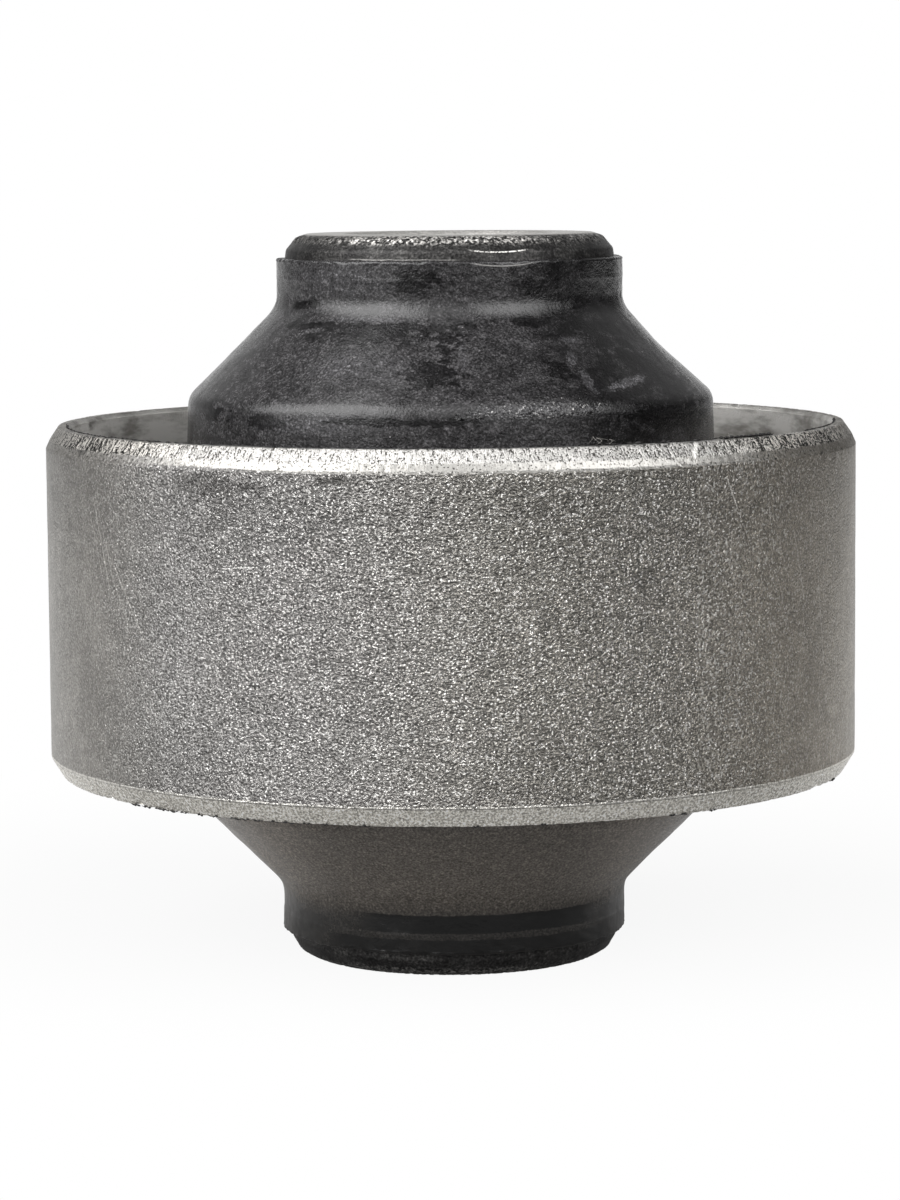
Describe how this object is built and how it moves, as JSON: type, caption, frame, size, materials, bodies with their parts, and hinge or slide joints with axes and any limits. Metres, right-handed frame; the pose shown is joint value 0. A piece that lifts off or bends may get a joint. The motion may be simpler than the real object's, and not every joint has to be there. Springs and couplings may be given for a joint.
{
  "type": "rubber metal bush",
  "caption": "Bonded rubber-metal bush: a short steel ring round a stepped rubber cone moulded onto a thick steel tube, for a suspension arm.",
  "frame": {"origin": "middle of the bush, on its axis", "axes": "+Z along the bolt axis, towards the end with the two-step lead-in chamfer; X and Y are any two directions across it"},
  "size_m": [0.06, 0.06, 0.0536],
  "materials": {
    "outer_sleeve": "bare steel, shot-blasted to a grainy dull grey, with brighter turned chamfers",
    "rubber_body": "matte black moulded rubber with dusty smears",
    "inner_sleeve": "bare turned steel, bright on its end faces and darkened on its flank"
  },
  "bodies": {
    "root": {"outer_sleeve": "outer_sleeve", "rubber_body": "rubber_body", "inner_sleeve": "inner_sleeve"}
  },
  "joints": []
}
